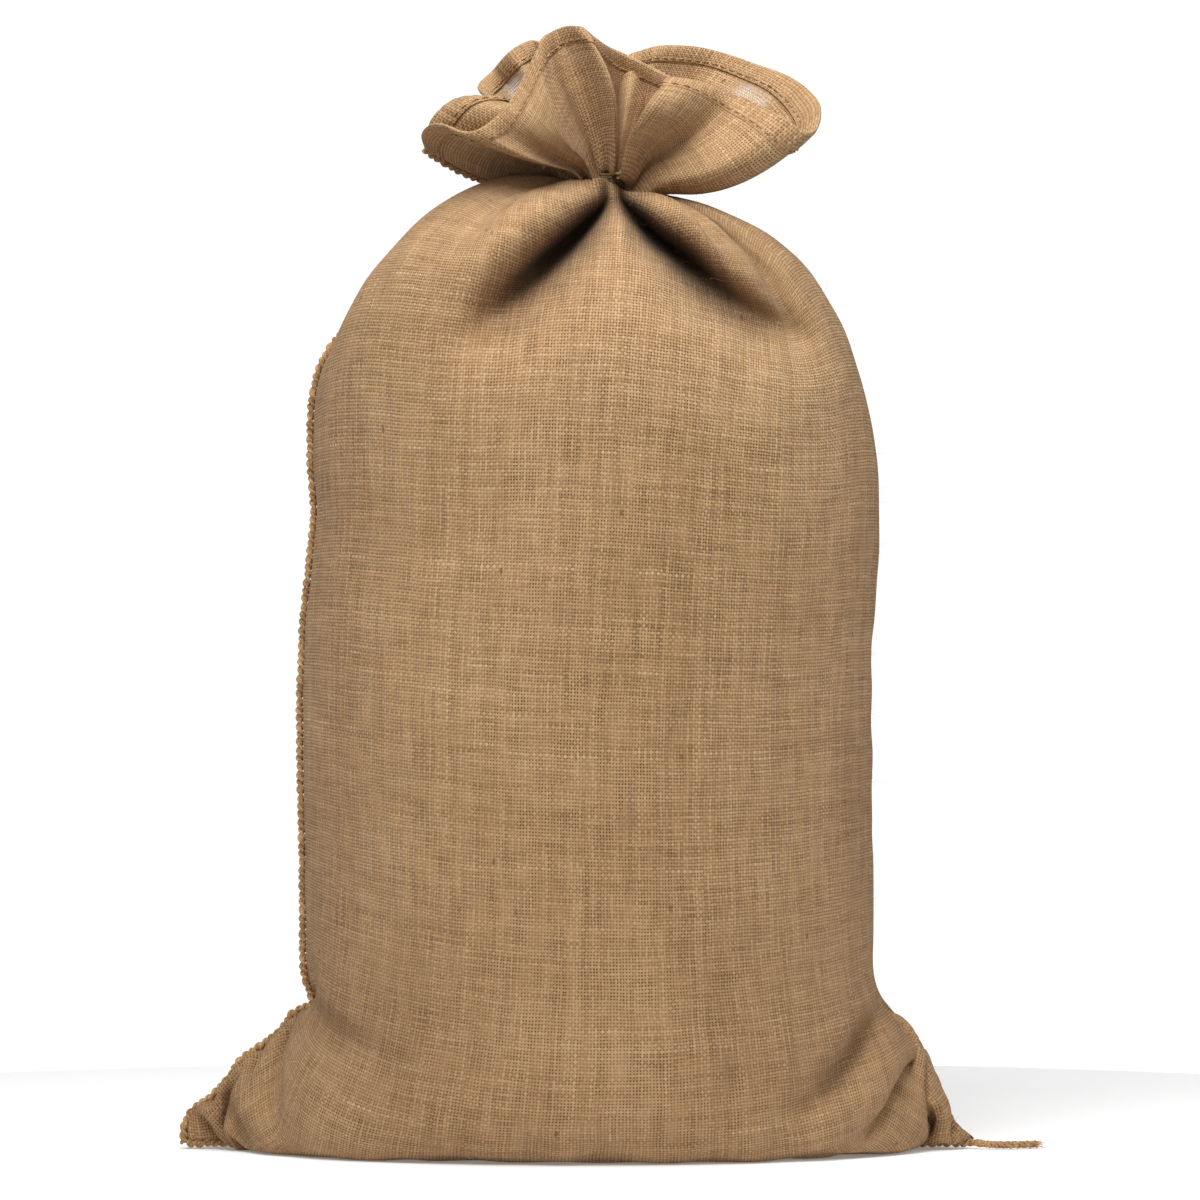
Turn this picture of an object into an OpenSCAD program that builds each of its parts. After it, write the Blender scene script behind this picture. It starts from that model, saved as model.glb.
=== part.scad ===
// Jute sack for sack races: stuffed, standing on its sewn bottom, with the mouth gathered and tied.
// Millimetres. Origin at the middle of the footprint on the ground, +Z up, front face towards -Y.

/* [Sack] */
// Thickness of the woven cloth
cloth_t = 1.4; // [1.0:0.1:2.0]
// Half the length of the bottom seam, from the middle to a corner ear
ear_reach = 283; // [270:1:290]
// Half depth of the filled body, front to back
body_half_depth = 172; // [150:1:185]
// Height of the ring where the shoulders run into the neck
shoulder_top = 694; // [680:1:705]
// Gap left between the cloth and the filling
filling_gap = 2; // [1:0.1:4]

/* [Neck] */
// Distance of the neck from the middle of the sack
neck_x = 22; // [0:1:30]
// Radius of the gathered neck
neck_r = 20; // [17:0.5:24]
// Number of pleats in the gathered neck
neck_pleats = 14; // [8:1:20]
// Diameter of the tie cord
tie_d = 2.6; // [2:0.1:4]
// Turns of the tie cord round the neck
tie_turns = 3; // [2:1:4]

/* [Mouth] */
// Reach of the gathered mouth to the seam side
mouth_left = 140; // [110:1:150]
// Reach of the gathered mouth to the folded side
mouth_right = 174; // [130:1:180]
// Half depth of the gathered mouth
mouth_half_depth = 78; // [60:1:95]
// Height of the highest pleat above the ground
mouth_top = 805; // [780:1:830]
// How far the mouth droops at its two ends
mouth_droop = 46; // [20:1:60]
// Number of pleats round the mouth
mouth_pleats = 9; // [5:1:11]
// Depth of the mouth pleats as a share of its reach
pleat_depth = 0.15; // [0.05:0.01:0.2]
// Width of the folded hem
hem_w = 16; // [10:1:22]
// Diameter of the hem thread
hem_thread_d = 1.4; // [1:0.1:2]

/* [Seams] */
// Width of the overlocked seam
seam_d = 6; // [4:0.5:8]
// Diameter of the free chain of seam thread at the corner
tail_d = 6.4; // [5:0.2:8]

/* [Hidden] */

JUTE = "#b89468";
JUTE_DARK = "#9c7a50";
THREAD = "#a5835a";
CORD = "#5b5a48";
STUFFING = "#d8cdb4";

around = 40;             // columns round the body
smooth = 2;              // steps between two rows of the body
end_inset = 7;           // how much faster a pointed end draws in than the front and back
least_depth = 0.6;       // half depth below which a ring is not drawn in
base_rows = 4;           // rows of BODY that lie under the base
mouth_around = 72;       // columns round the mouth
mouth_slope = 130;       // length of the mouth cloth from the tie to the rim
tube_sides = 8;
thread_sides = 6;
clear = 0.15;            // gap between a seam and the cloth under it
thread_clear = 0.6;      // gap between the hem thread and the pleats under it

// Rows of the body from the neck down the sides and in under the base to the bottom seam:
// height, left edge, right edge, half depth, how sharply the two ends pinch (1 round, 2 pointed),
// and which way the cloth's inner side lies (-1 below it, 0 beside it, 1 above it).
seam_z = 7.5;
ear_left = ear_reach - seam_d - clear; // the overlocked edge stands outside the cloth on this side
BODY = [
    [shoulder_top, neck_x - neck_r, neck_x + neck_r, neck_r, 1, -1],
    [687, -92, 84, 64, 1, -1],
    [664, -128, 130, 100, 1, -1],
    [632, -156, 166, 130, 1, -1],
    [582, -184, 194, 152, 1, -0.5],
    [512, -194, 210, body_half_depth - 6, 1, 0],
    [432, -192, 215, body_half_depth - 1, 1, 0],
    [322, -200, 210, body_half_depth, 1, 0],
    [192, -197, 211, body_half_depth, 1, 0],
    [122, -200, 213, body_half_depth - 2, 1.05, 0],
    [72, -236, 238, body_half_depth - 8, 1.4, 0.3],
    [32, -262, 262, body_half_depth - 18, 1.8, 0.6],
    [10, -ear_left, ear_reach, body_half_depth - 34, 2, 1],
    [0, 2 - ear_left, ear_reach - 2, body_half_depth - 60, 2, 1],
    [0, 4 - ear_left, ear_reach - 4, 66, 1.6, 1],
    [1.5, 14 - ear_left, ear_reach - 14, 36, 1.3, 1],
    [seam_z, 24 - ear_left, ear_reach - 24, 16, 1.1, 1]
];

// Free chain of seam thread, from the right ear along the ground
TAIL = [
    [283.5, -1, 5], [288, -2, 4.2], [293, -3, 3.6], [299, -4, 3.4], [305, -4, 3.3],
    [311, -3, 3.3], [317, -1, 3.3], [323, 1, 3.3], [328, 2, 3.3]
];

tie_z = shoulder_top + tie_turns * tie_d / 2;
tie_top = shoulder_top + tie_turns * tie_d;
pivot_z = tie_top + 6;
dome_r = neck_r - 6;
frill_base_z = pivot_z + 1;
frill_base_r = neck_r - 3;
frill_rows = 8;

function catmull(a, b, c, d, f) =
    b + 0.5 * f * (c - a + f * (2 * a - 5 * b + 4 * c - d + f * (3 * (b - c) + d - a)));
function at(rows, i) = rows[max(0, min(len(rows) - 1, i))];
function smoothed(rows, n) = [
    for (i = [0:len(rows) - 2], k = [0:n - 1])
        catmull(at(rows, i - 1), rows[i], rows[i + 1], at(rows, i + 2), k / n),
    rows[len(rows) - 1]
];
function unit(v) = v / norm(v);
function signed_pow(v, p) = sign(v) * pow(abs(v), p);

BODY_ROWS = [
    for (r = smoothed(BODY, smooth)) [max(0, r[0]), r[1], r[2], r[3], r[4], r[5]]
];
wall_rows = len(BODY_ROWS) - 1 - base_rows * smooth; // number of the last row above the base

// One ring of the body, drawn in by the distance inset
function body_ring(row, inset) =
    let (
        pinch = row[4] - 1,
        cx = (row[1] + row[2]) / 2,
        a = (row[2] - row[1]) / 2 - inset * (1 + end_inset * pinch),
        b = max(least_depth, row[3] - inset * (1 + pinch)),
        z = row[0] + row[5] * inset
    )
    [for (j = [0:around - 1])
        let (t = 360 * j / around)
        [cx - a * cos(t), -b * signed_pow(sin(t), row[4]), z]];

// Two triangles of a quad, turned over when back is true
function quad_faces(a, b, c, d, back) =
    back ? [[c, b, a], [d, c, a]] : [[a, b, c], [a, c, d]];
// Side faces between n_rings rings of n points each, starting at point number first
function side_faces(n_rings, n, first, back) = [
    for (i = [0:n_rings - 2], j = [0:n - 1])
        let (p = first + i * n + j, q = first + i * n + (j + 1) % n)
        each quad_faces(p, q, q + n, p + n, back)
];
// Faces that join one ring to another
function band_faces(ring_a, ring_b, n, back) = [
    for (j = [0:n - 1])
        let (k = (j + 1) % n)
        each quad_faces(ring_a + j, ring_a + k, ring_b + k, ring_b + j, back)
];
function cap_face(first, n, back) =
    back ? [[for (j = [0:n - 1]) first + n - 1 - j]] : [[for (j = [0:n - 1]) first + j]];

// A closed loft through a list of rings with the same number of points
module loft(rings) {
    n = len(rings[0]);
    m = len(rings);
    polyhedron(
        points = [for (r = rings) each r],
        faces = concat(
            side_faces(m, n, 0, false), cap_face(0, n, true), cap_face((m - 1) * n, n, false)
        )
    );
}

// A round tube swept along a list of points, none of whose steps runs along ref
function tube_ring(pts, i, r, sides, ref) =
    let (
        d = unit(at(pts, i + 1) - at(pts, i - 1)),
        u = unit(cross(ref, d)),
        v = cross(d, u)
    )
    [for (j = [0:sides - 1])
        pts[i] + r * (u * cos(360 * j / sides) - v * sin(360 * j / sides))];
module tube(pts, r, sides, ref = [0, 1, 0]) {
    loft([for (i = [0:len(pts) - 1]) tube_ring(pts, i, r, sides, ref)]);
}

end_pleat = 0.35;        // share of the pleats' depth that is left at the mouth's two ends
pleat_mean = 0.6;        // how far the pleats draw the whole rim in, as a share of their depth
droop_power = 1.5;       // how suddenly the rim droops towards its ends
rim_wave = 8;            // height of the three slow waves of the rim
flare_power = 1.15;      // above 1, the mouth flares late
rise_power = 0.9;        // below 1, the mouth rises early

// Reach, height and outline of the gathered mouth, by the angle from the seam side round the front
function reach(t) =
    let (
        side = cos(t) > 0 ? mouth_left : mouth_right,
        base = 1 / sqrt(pow(cos(t) / side, 2) + pow(sin(t) / mouth_half_depth, 2)),
        fold = cos(mouth_pleats * t) * (end_pleat + (1 - end_pleat) * abs(sin(t)))
    )
    base * (1 + pleat_depth * (fold - pleat_mean));
function rim_z(t) =
    mouth_top - mouth_droop * pow(abs(cos(t)), droop_power) - rim_wave * (1 - cos(3 * t)) / 2;
// A point of the mouth cloth: u runs from the tie to the rim, side is 0 outside and 1 one cloth in
function mouth_point(u, t, side) =
    let (
        r = frill_base_r + (reach(t) - frill_base_r) * pow(u, flare_power) - side * cloth_t,
        z = frill_base_z + (rim_z(t) - frill_base_z) * pow(u, rise_power) + side * cloth_t
    )
    [neck_x - r * cos(t), -r * sin(t), z];
function mouth_ring(u, side) =
    [for (j = [0:mouth_around - 1]) mouth_point(u, 360 * j / mouth_around, side)];

hem_u = 1 - hem_w / mouth_slope;

// A band of the mouth from u0 to u1, layers of cloth thick
module mouth_band(u0, u1, rows, layers) {
    outer = [for (i = [0:rows]) mouth_ring(u0 + (u1 - u0) * i / rows, 0)];
    inner = [for (i = [0:rows]) mouth_ring(u0 + (u1 - u0) * i / rows, layers)];
    half = (rows + 1) * mouth_around;
    polyhedron(
        points = [for (r = concat(outer, inner)) each r],
        faces = concat(
            side_faces(rows + 1, mouth_around, 0, true),
            side_faces(rows + 1, mouth_around, half, false),
            band_faces(0, half, mouth_around, false),
            band_faces(half - mouth_around, 2 * half - mouth_around, mouth_around, true)
        )
    );
}

module sack_body() {
    n = len(BODY_ROWS);
    outer = [for (r = BODY_ROWS) body_ring(r, 0)];
    inner = [for (r = BODY_ROWS) body_ring(r, cloth_t)];
    half = n * around;
    color(JUTE)
    polyhedron(
        points = [for (r = concat(outer, inner)) each r],
        faces = concat(
            side_faces(n, around, 0, false),
            side_faces(n, around, half, true),
            band_faces(0, half, around, true),
            cap_face(half - around, around, false),
            cap_face(2 * half - around, around, true)
        )
    );
}

// The stuffing stands flat above the base and its bottom seam
module filling() {
    color(STUFFING)
    loft([for (i = [0:wall_rows]) body_ring(BODY_ROWS[i], cloth_t + filling_gap)]);
}

// Points along one edge of the body, moved out square to it by the distance out
function side_path(edge, out) = [
    for (i = [1:wall_rows])
        let (
            a = BODY_ROWS[i - 1],
            b = BODY_ROWS[i + 1],
            along = unit([b[edge] - a[edge], 0, b[0] - a[0]])
        )
        [BODY_ROWS[i][edge], 0, BODY_ROWS[i][0]] + out * [along[2], 0, -along[0]]
];

module side_seam() {
    color(THREAD)
    tube(side_path(1, seam_d / 2 + clear), seam_d / 2, tube_sides);
}

module bottom_seam() {
    bottom_r = 2.7;
    bottom_half = ear_reach - 44;
    color(THREAD)
    translate([-bottom_half, 0, bottom_r + clear])
    rotate([0, 90, 0])
    cylinder(r = bottom_r, h = 2 * bottom_half, $fn = 24);
}

module neck_gather() {
    flute = 2;                  // depth of the pleats in the tie
    steps = 8 * neck_pleats;
    gather_r = neck_r - tie_d - clear;
    color(JUTE_DARK)
    translate([neck_x, 0, shoulder_top]) {
        linear_extrude(tie_top - shoulder_top)
        polygon([
            for (i = [0:steps - 1])
                let (
                    t = 360 * i / steps,
                    r = gather_r - flute * (1 - abs(cos(neck_pleats * t / 2)))
                )
                r * [cos(t), sin(t)]
        ]);
        intersection() {
            translate([0, 0, pivot_z - shoulder_top])
            sphere(r = dome_r, $fn = 48);
            translate([0, 0, tie_top - shoulder_top])
            cylinder(r = neck_r, h = 2 * dome_r, $fn = 48);
        }
    }
}

module neck_tie() {
    color(CORD)
    for (i = [0:tie_turns - 1])
        translate([neck_x, 0, shoulder_top + (i + 0.5) * tie_d])
        rotate_extrude($fn = 64)
        translate([neck_r - tie_d / 2, 0])
        circle(d = tie_d, $fn = 16);
}

// Two crossed half hitches and their clipped ends, behind the neck
module tie_knot() {
    knot_r = 3.4;
    end_l = 18;                 // length of each clipped end
    end_spread = 35;            // turn of an end to its side
    end_rise = 80;              // turn of an end away from straight down
    color(CORD)
    translate([neck_x, neck_r + knot_r + clear, tie_z]) {
        sphere(r = knot_r, $fn = 24);
        for (side = [-1, 1])
            rotate([end_rise, 0, side * end_spread])
            translate([0, 0, -end_l])
            cylinder(d = tie_d, h = end_l, $fn = 16);
    }
}

module seam_tail() {
    color(THREAD)
    tube(TAIL, tail_d / 2, tube_sides);
}

module mouth_frill() {
    color(JUTE)
    mouth_band(0, hem_u, frill_rows, 1);
}

module mouth_hem() {
    color(JUTE_DARK)
    mouth_band(hem_u, 1, 2, 2);
}

// One line of stitches round the mouth, open where the mouth seam crosses it
module hem_stitching() {
    thread_r = hem_thread_d / 2;
    stitch_u = hem_u + 0.02;
    color(THREAD)
    tube([
        for (j = [1:mouth_around - 1])
            let (
                t = 360 * j / mouth_around,
                out = unit(mouth_point(stitch_u, t, 0) - mouth_point(stitch_u, t, 1))
            )
            mouth_point(stitch_u, t, 0) + (thread_r + thread_clear) * out
    ], thread_r, thread_sides, [0, 0, 1]);
}

module mouth_seam() {
    first_u = 0.19;             // just outside the tie
    rows = 11;
    back = 0.02;
    color(THREAD)
    tube([
        for (i = [0:rows])
            let (
                u = first_u + (1 - first_u) * i / rows,
                along = unit(mouth_point(u, 0, 0) - mouth_point(u - back, 0, 0))
            )
            mouth_point(u, 0, 0) + (seam_d / 2 + 3 * clear) * [-along[2], 0, along[0]]
    ], seam_d / 2, tube_sides);
}

sack_body();
filling();
side_seam();
bottom_seam();
neck_gather();
neck_tie();
tie_knot();
seam_tail();
mouth_frill();
mouth_hem();
hem_stitching();
mouth_seam();
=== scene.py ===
import math
import random

import bpy
import numpy as np
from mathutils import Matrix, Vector


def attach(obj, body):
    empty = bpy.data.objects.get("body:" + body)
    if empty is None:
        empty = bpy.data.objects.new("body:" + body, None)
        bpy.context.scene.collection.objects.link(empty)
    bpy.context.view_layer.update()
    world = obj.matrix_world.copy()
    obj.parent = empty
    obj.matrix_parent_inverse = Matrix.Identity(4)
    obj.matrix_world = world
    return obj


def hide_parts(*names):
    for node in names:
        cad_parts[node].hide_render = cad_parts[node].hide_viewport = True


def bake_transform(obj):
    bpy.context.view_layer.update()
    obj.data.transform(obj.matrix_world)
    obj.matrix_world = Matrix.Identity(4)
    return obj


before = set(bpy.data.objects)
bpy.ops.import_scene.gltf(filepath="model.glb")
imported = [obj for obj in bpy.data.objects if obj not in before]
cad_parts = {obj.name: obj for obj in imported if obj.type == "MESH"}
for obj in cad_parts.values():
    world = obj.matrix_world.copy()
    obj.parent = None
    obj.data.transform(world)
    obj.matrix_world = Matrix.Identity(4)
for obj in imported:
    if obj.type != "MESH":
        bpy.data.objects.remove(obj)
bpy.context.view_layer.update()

random.seed(7)

# Metres, origin on the ground under the middle of the sack, front face towards -Y.
# On the cloth, s runs round from the side seam over the front, and t runs up from the bottom seam.
CLOTH_W = 1.2            # cloth round the sack
CLOTH_L = 1.03           # cloth from the bottom seam to the rim
T_NECK = 0.895           # cloth from the bottom seam to the tie
NECK = (0.022, 0.0, 0.698)
HALF = CLOTH_W / 2
EAR = 0.283              # reach of a corner ear
HEM = 0.016              # width of the folded hem
YARN = 0.00217           # pitch of the weave
SEAM_PITCH = 0.0115      # one turn of each of the two overlock threads
TURN = 2 * math.pi


# ---- camera

def make_camera():
    data = bpy.data.cameras.new("camera")
    data.lens = 187.5
    data.sensor_width = 36
    camera = bpy.data.objects.new("camera", data)
    camera.location = (0.0137, -4.5, 0.36)
    aim = Vector((0.0137, 0, 0.395))
    camera.rotation_euler = (aim - camera.location).to_track_quat("-Z", "Y").to_euler()
    bpy.context.collection.objects.link(camera)
    bpy.context.scene.camera = camera


# ---- curves and meshes

def catmull(points, n):
    """A smooth line through the points, n steps from each to the next."""
    p = np.asarray(points, float)
    last = len(p) - 1
    f = (np.arange(n) / n)[:, None]
    out = []
    for i in range(last):
        a, b, c, d = p[max(i - 1, 0)], p[i], p[i + 1], p[min(i + 2, last)]
        out.append(b + 0.5 * f * (c - a + f * (2 * a - 5 * b + 4 * c - d + f * (3 * (b - c) + d - a))))
    out.append(p[-1:])
    return np.concatenate(out)


def run_length(p):
    return np.r_[0, np.cumsum(np.linalg.norm(np.diff(p[:, :3], axis=0), axis=1))]


def at_run(p, where):
    """Points at distances along a line. Columns after the third go with them."""
    run = run_length(p)
    return np.stack([np.interp(where, run, p[:, k]) for k in range(p.shape[1])], 1)


def along(p, shares):
    return at_run(p, shares * run_length(p)[-1])


def even(points, step):
    p = np.asarray(points, float)
    n = max(2, int(round(run_length(p)[-1] / step)))
    return along(p, np.linspace(0, 1, n + 1))


def unit(v):
    return v / (np.linalg.norm(v, axis=-1, keepdims=True) + 1e-12)


def rise(x, start, width):
    """0 up to start, then up to 1 over the width."""
    return np.clip((x - start) / width, 0, 1)


def fall(x, end, width):
    """1, then down to 0 at end over the width."""
    return np.clip((end - x) / width, 0, 1)


def hump(x, middle, width):
    return np.exp(-((x - middle) / width) ** 2)


def places(rows, columns):
    """Where the columns (s) and rows (t) of a grid over the whole cloth lie on it."""
    return np.arange(columns) * CLOTH_W / columns, np.linspace(0, CLOTH_L, rows)


def frames(p, up):
    """Side and up at each point of a line."""
    d = unit(np.gradient(p, axis=0))
    side = unit(np.cross(d, np.broadcast_to(np.asarray(up, float), p.shape)))
    return side, unit(np.cross(side, d))


def turned(a, b, angle):
    """The direction at an angle from a towards b, at each point of a line."""
    return a * np.cos(angle)[:, None] + b * np.sin(angle)[:, None]


def band(rows, columns, wrap=False):
    """The faces of a surface whose points run round in rows. It closes on its first row when it wraps."""
    i, j = np.meshgrid(np.arange(rows if wrap else rows - 1), np.arange(columns), indexing="ij")
    up, right = (i + 1) % rows, (j + 1) % columns
    corners = [i * columns + j, i * columns + right, up * columns + right, up * columns + j]
    return np.stack(corners, -1).reshape(-1, 4).tolist()


def tube(p, r, sides=6, up=(0, 0, 1)):
    """Points and faces of a closed tube along p; r is one radius or one for each point."""
    p = np.asarray(p, float)
    a, b = frames(p, up)
    n = len(p)
    r = np.broadcast_to(np.asarray(r, float), (n,))[:, None, None]
    t = np.linspace(0, TURN, sides, endpoint=False)[None, :, None]
    ring = p[:, None] + r * (a[:, None] * np.cos(t) + b[:, None] * np.sin(t))
    walls = [[i, l, k, j] for i, j, k, l in band(n, sides)]
    ends = [list(range(sides)), list(range(n * sides - 1, (n - 1) * sides - 1, -1))]
    return ring.reshape(-1, 3), walls + ends


class Parts:
    """Collects the points and faces of many small pieces into one mesh."""

    def __init__(self):
        self.points, self.faces, self.count = [], [], 0

    def tube(self, p, r, sides=6, up=(0, 0, 1)):
        points, faces = tube(p, r, sides, up)
        self.points.append(points)
        self.faces += [[self.count + i for i in f] for f in faces]
        self.count += len(points)

    def build(self, name, *rest, **more):
        return make_piece(name, np.concatenate(self.points), self.faces, *rest, **more)


def make_mesh(name, points, faces, material):
    mesh = bpy.data.meshes.new(name)
    mesh.from_pydata(np.asarray(points).tolist(), [], faces)
    mesh.polygons.foreach_set("use_smooth", [True] * len(mesh.polygons))
    mesh.materials.append(material)
    obj = bpy.data.objects.new(name, mesh)
    bpy.context.collection.objects.link(obj)
    return obj


def make_piece(name, points, faces, body, slot, *nodes, material=None):
    """A mesh that rides on a body, takes its finish from a slot, and stands for the CAD nodes it replaces."""
    piece = make_mesh(name, points, faces, MATERIALS[material or slot])
    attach(piece, body)
    if nodes:
        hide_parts(*nodes)
    return piece


def add_flat(obj, s, t):
    """Each face corner's place on the flat cloth, from the places of the mesh's columns and rows."""
    i, j = np.meshgrid(np.arange(len(t) - 1), np.arange(len(s) - 1), indexing="ij")
    corners = [np.stack([s[j + right], t[i + up]], -1) for up, right in ((0, 0), (0, 1), (1, 1), (1, 0))]
    layer = obj.data.uv_layers.new(name="flat")
    layer.data.foreach_set("uv", np.stack(corners, 2).astype(np.float32).ravel())


# ---- materials

class Graph:
    """A material's node graph, with short calls for the nodes used here."""

    def __init__(self, name):
        self.material = bpy.data.materials.new(name)
        self.material.use_nodes = True
        self.tree = self.material.node_tree
        self.tree.nodes.clear()

    def node(self, kind, inputs=None, **settings):
        n = self.tree.nodes.new("ShaderNode" + kind)
        for key, value in settings.items():
            setattr(n, key, value)
        for key, value in (inputs or {}).items():
            self.put(n.inputs[key], value)
        return n

    def put(self, socket, value):
        if isinstance(value, bpy.types.NodeSocket):
            self.tree.links.new(value, socket)
        else:
            socket.default_value = value

    def math(self, operation, *values):
        return self.node("Math", dict(enumerate(values)), operation=operation).outputs[0]

    def times(self, a, b):
        return self.math("MULTIPLY", a, b)

    def plus(self, a, b, share=None):
        """a + b, or a + b times a share."""
        return self.math("ADD", a, b if share is None else self.times(b, share))

    def ramp(self, value, low, high, to_low=0.0, to_high=1.0):
        inputs = {0: value, 1: low, 2: high, 3: to_low, 4: to_high}
        return self.node("MapRange", inputs, interpolation_type="SMOOTHSTEP").outputs[0]

    def noise(self, vector, scale, detail=2.0, roughness=0.5):
        inputs = {"Vector": vector, "Scale": scale, "Detail": detail, "Roughness": roughness}
        return self.node("TexNoise", inputs).outputs[0]

    def random(self, value, seed):
        return self.node("TexWhiteNoise", {"W": self.plus(value, seed)}, noise_dimensions="1D").outputs[0]

    def vector(self, x, y):
        return self.node("CombineXYZ", {"X": x, "Y": y}).outputs[0]

    def split(self, vector):
        return self.node("SeparateXYZ", {0: vector}).outputs

    def choose(self, share, a, b):
        return self.node("Mix", {0: share, 2: a, 3: b}, data_type="FLOAT").outputs[0]

    def blend(self, share, a, b):
        return self.node("Mix", {0: share, 6: a, 7: b}, data_type="RGBA", clamp_factor=True).outputs[2]

    def colours(self, value, stops):
        n = self.node("ValToRGB", {"Fac": value})
        ends = n.color_ramp.elements
        for (place, colour), element in zip((stops[0], stops[-1]), ends):
            element.position, element.color = place, colour
        for place, colour in stops[1:-1]:
            ends.new(place).color = colour
        return n.outputs[0]

    def attribute(self, name):
        return self.node("Attribute", attribute_name=name).outputs["Fac"]

    def bump(self, height, distance, strength=1.0):
        inputs = {"Height": height, "Distance": distance, "Strength": strength}
        return self.node("Bump", inputs).outputs[0]

    def finish(self, colour, normal, roughness, alpha=1.0, sheen=0.05, glow=0.0):
        shader = self.node("BsdfPrincipled", {
            "Base Color": colour, "Normal": normal, "Roughness": roughness, "Alpha": alpha,
            "Specular IOR Level": 0.10, "Sheen Weight": sheen, "Sheen Roughness": 0.6,
            "Emission Color": (1, 1, 1, 1), "Emission Strength": glow,
        })
        self.node("OutputMaterial", {0: shader.outputs[0]})
        return self.material


def rgb(r, g, b):
    """An sRGB colour of 0 to 255 as a linear one."""
    def linear(c):
        c /= 255
        return c / 12.92 if c <= 0.04045 else ((c + 0.055) / 1.055) ** 2.4
    return (linear(r), linear(g), linear(b), 1.0)


def yarns_across(g, x, wander):
    """How many yarns lie between the seam and each point, counted on yarns that wander a little."""
    return g.plus(g.times(x, 1 / YARN), wander, 1.1)


def yarn_height(g, across, slub):
    """The rounded top of a yarn, with its thin and thick places."""
    rounded = g.math("ABSOLUTE", g.math("SINE", g.times(across, math.pi)))
    return g.plus(rounded, g.plus(slub, -0.5), 0.9)


def yarn_tone(g, yarn, slub, seed, spread):
    """Each yarn has its own tone, and its thick places are lighter."""
    return g.plus(g.times(g.random(yarn, seed), spread), slub, 1.1)


def open_gaps(g, u, v, warp, weft, highest):
    """The gaps at the corners of four yarns, wider in some places than in others, as a mask for the painted
    shade in them.
    """
    slow = g.noise(g.vector(g.times(u, 0.22), g.times(v, 0.07)), 1.0, 3.0)
    opened = g.plus(slow, g.random(g.plus(warp, weft, 7.31), 3.0), 0.25)
    return g.times(g.ramp(highest, 0.86, 0.40), g.ramp(opened, 0.34, 0.84, 0.25, 1.0))


def pale_yarns(g, weft, slub, over):
    """A few pale runs of one yarn."""
    run = g.times(g.ramp(g.random(weft, 5.0), 0.95, 0.99), g.ramp(slub, 0.50, 0.62))
    return g.times(run, g.math("SUBTRACT", 1.0, over))


def bark_flecks(g, x, y):
    place = g.vector(x, g.times(y, 0.6))
    cells = g.node("TexVoronoi", {"Vector": place, "Scale": 120.0, "Randomness": 1.0})
    chosen = g.ramp(g.split(cells.outputs["Color"])[0], 0.974, 0.984)
    return g.times(chosen, g.ramp(cells.outputs["Distance"], 0.24, 0.08))


def weave_material(name, dark, mid, light, shade=1.0, open_holes=True):
    """Plain-woven jute: yarns crossing over and under, each with its own tone, thin and thick places,
    loose fibres, dark specks of bark, and small holes between the yarns, with painted shade in the grooves,
    the gaps, the deep folds and towards the bottom."""
    g = Graph(name)
    flat = g.node("UVMap", uv_map="flat").outputs[0]
    x, y, _ = g.split(flat)
    aside = g.node("VectorMath", {0: flat, 1: (3.1, 7.7, 0)}).outputs[0]
    u = yarns_across(g, x, g.noise(flat, 38.0))
    v = yarns_across(g, y, g.noise(aside, 30.0))
    warp, weft = g.math("FLOOR", u), g.math("FLOOR", v)
    over = g.math("MODULO", g.plus(g.plus(warp, weft), 4096.0), 2.0)
    slub_warp = g.noise(g.vector(g.times(warp, 3.7), g.times(y, 34.0)), 1.0, 3.0)
    slub_weft = g.noise(g.vector(g.times(x, 34.0), g.times(weft, 3.7)), 1.0, 3.0)
    warp_height, weft_height = yarn_height(g, u, slub_warp), yarn_height(g, v, slub_weft)
    highest = g.math("MAXIMUM", warp_height, weft_height)
    height = g.plus(g.times(g.choose(over, weft_height, warp_height), 0.75), highest, 0.25)
    # where painted shade darkens the gaps between the yarns
    gap_shade = open_gaps(g, u, v, warp, weft, highest)

    fibre = g.noise(flat, 900.0, 3.0, 0.7)
    patches = g.plus(g.noise(flat, 7.0, 3.0), -0.5)
    warp_tone = yarn_tone(g, warp, slub_warp, 17.0, 0.40)
    tone = g.choose(over, yarn_tone(g, weft, slub_weft, 91.0, 0.34), warp_tone)
    tone = g.plus(g.times(g.plus(tone, fibre, 0.6), 0.43), patches, 0.35)
    colour = g.colours(tone, [(0.097, dark), (0.457, mid), (0.857, light)])
    colour = g.blend(g.times(pale_yarns(g, weft, slub_weft, over), 0.5), colour, light)
    colour = g.blend(g.times(bark_flecks(g, x, y), 0.6), colour, rgb(84, 58, 36))
    # painted shade: the cloth is darkened towards the bottom of the sack, where less light reaches it
    colour = g.blend(g.ramp(y, 0.18, 0.58, 0.26, 0.0), colour, rgb(110, 80, 52))
    # painted shade: the bottom of the grooves between yarns is darkened, and so are the gaps
    colour = g.blend(g.times(g.ramp(height, 0.62, 0.12), 0.34 * shade), colour, rgb(88, 58, 32))
    colour = g.blend(g.times(gap_shade, 0.92 * shade), colour, rgb(70, 44, 22))
    # light hardly reaches the bottom of a deep fold
    colour = g.blend(g.times(g.attribute("shade"), 0.9), colour, rgb(44, 26, 14))
    bump = g.bump(g.plus(height, fibre, 0.35), 0.0006, 0.8)
    rough = g.ramp(tone, 0.057, 0.857, 0.95, 0.80)
    if not open_holes:
        return g.finish(colour, bump, rough)
    # the weave has slid open where it is slack
    hole = g.times(g.ramp(highest, 0.84, 0.76), g.attribute("slack"))
    return g.finish(colour, bump, rough, g.math("SUBTRACT", 1.0, hole))


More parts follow.
